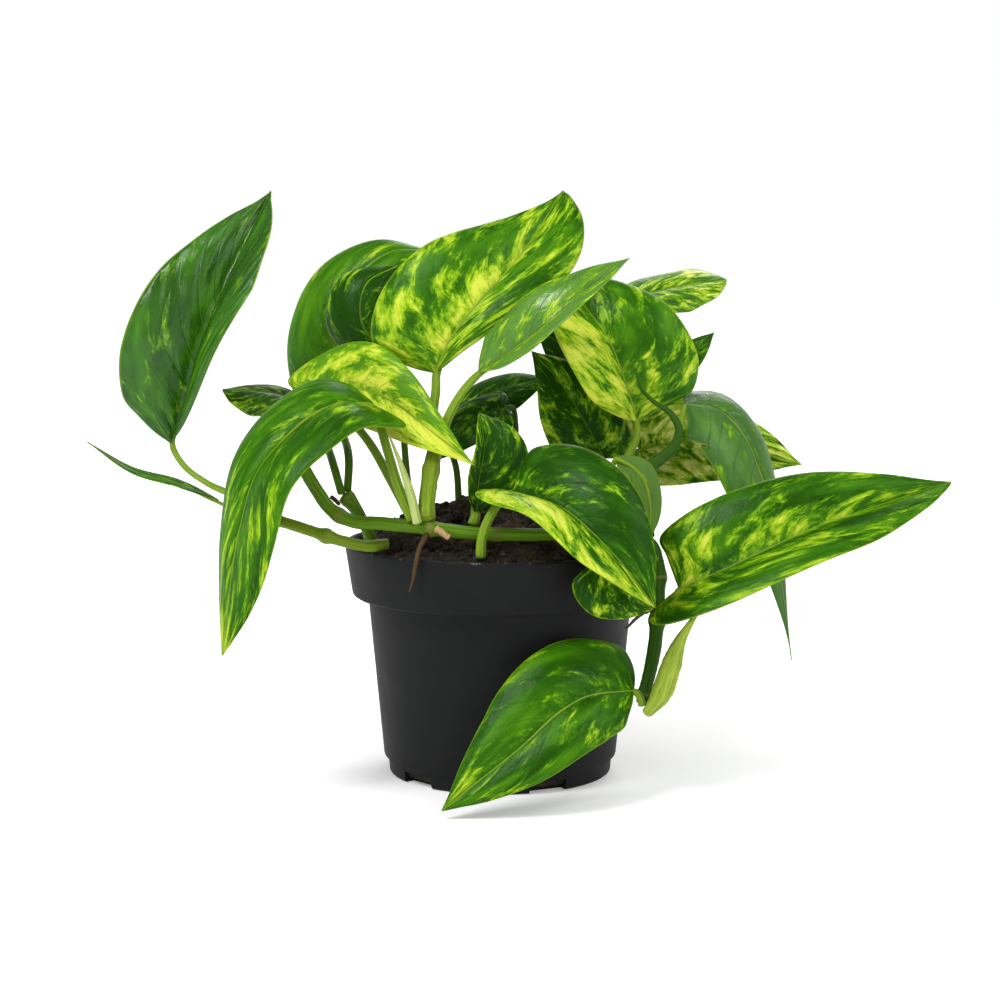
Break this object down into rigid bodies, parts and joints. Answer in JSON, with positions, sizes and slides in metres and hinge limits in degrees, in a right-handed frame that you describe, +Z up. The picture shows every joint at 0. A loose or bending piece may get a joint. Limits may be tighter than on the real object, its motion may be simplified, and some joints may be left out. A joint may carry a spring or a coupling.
{
  "type": "potted pothos plant",
  "caption": "Variegated golden pothos in a black plastic nursery pot, with arching stems, heart-shaped leaves and a vine hanging over the rim.",
  "frame": {"origin": "centre of the pot's flat underside, on the surface it stands on", "axes": "+Z up out of the pot, +X to the right and -Y towards the viewer, who sees one leaf hang down in front of the pot"},
  "size_m": [0.3262, 0.1446, 0.2232],
  "materials": {
    "leaf_deep": "waxy satin",
    "leaf_mid": "waxy satin",
    "leaf_gold": "waxy satin",
    "leaf_cream": "waxy satin",
    "leaf_olive": "waxy satin",
    "leaf_pale": "waxy satin",
    "leaf_grey": "waxy satin",
    "stem_green": "waxy satin",
    "stem_pale": "waxy satin",
    "stem_dark": "waxy satin",
    "sheath_pale": "waxy satin",
    "root_brown": "dry and rough",
    "stub_tan": "dry and rough",
    "pot_plastic": "matt black moulded",
    "soil_dark": "crumbly and damp"
  },
  "bodies": {
    "root": {"pot": "pot_plastic", "soil": "soil_dark", "bark_chunk": "soil_dark", "vine_front": "stem_green", "vine_left_low": "stem_pale", "vine_left_fork": "stem_green", "vine_right": "stem_dark", "stem_centre": "stem_pale", "shoot_curled": "stem_dark", "sheath_pale": "sheath_pale", "leaf_young_rolled": "leaf_pale", "root_front": "root_brown", "root_vine_right": "root_brown", "root_left": "root_brown", "stub_cut": "stub_tan", "leaf_far_left": "leaf_deep", "leaf_far_left_spear": "leaf_mid", "leaf_left_front": "leaf_mid", "leaf_left_gold": "leaf_gold", "leaf_left_small": "leaf_deep", "leaf_back_left_tall": "leaf_mid", "leaf_back_left_round": "leaf_deep", "leaf_top_centre": "leaf_gold", "leaf_top_folded": "leaf_pale", "leaf_right_upper": "leaf_gold", "leaf_back_right": "leaf_cream", "leaf_back_right_tip": "leaf_deep", "leaf_back_centre": "leaf_deep", "leaf_back_low": "leaf_deep", "leaf_back_middle": "leaf_deep", "leaf_centre_upright": "leaf_deep", "leaf_centre_olive": "leaf_olive", "leaf_front": "leaf_gold", "leaf_rim": "leaf_deep", "leaf_right_hood": "leaf_pale", "leaf_right_large": "leaf_gold", "leaf_low_front": "leaf_mid", "leaf_right_cream": "leaf_cream", "leaf_right_droop": "leaf_grey"}
  },
  "joints": []
}
